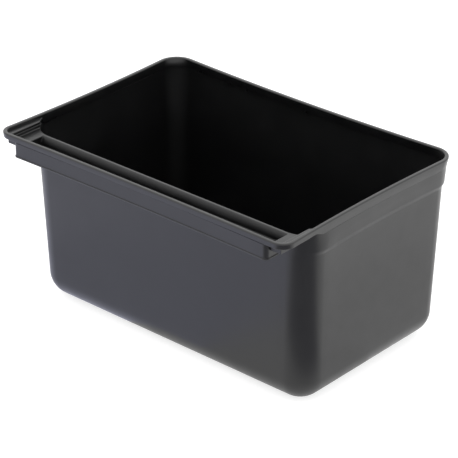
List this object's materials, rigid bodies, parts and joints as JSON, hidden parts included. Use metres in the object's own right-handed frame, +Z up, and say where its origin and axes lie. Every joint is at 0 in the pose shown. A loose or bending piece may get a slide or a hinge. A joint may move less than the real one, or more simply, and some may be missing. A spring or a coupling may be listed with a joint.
{
  "type": "hang-on service bin",
  "caption": "Deep tapered open bin with rounded corners, a shoulder band under a raised rim, and a grooved hook along one long side that hangs it on a cart or counter edge.",
  "frame": {"origin": "middle of the footprint of the whole bin, hook included, on the plane the bin rests on", "axes": "+X along the long side, +Y from the hook towards the back wall, +Z up; the bin is the same on both sides of the YZ plane"},
  "size_m": [0.335, 0.2336, 0.177],
  "materials": {
    "tub_plastic": "satin black, fine moulded grain",
    "rim_plastic": "satin black, slightly polished edges",
    "hook_plastic": "satin black, fine moulded grain"
  },
  "bodies": {
    "root": {"bin_tub": "tub_plastic", "rim_frame": "rim_plastic", "hook_web": "hook_plastic", "hook_skirt": "hook_plastic"}
  },
  "joints": []
}
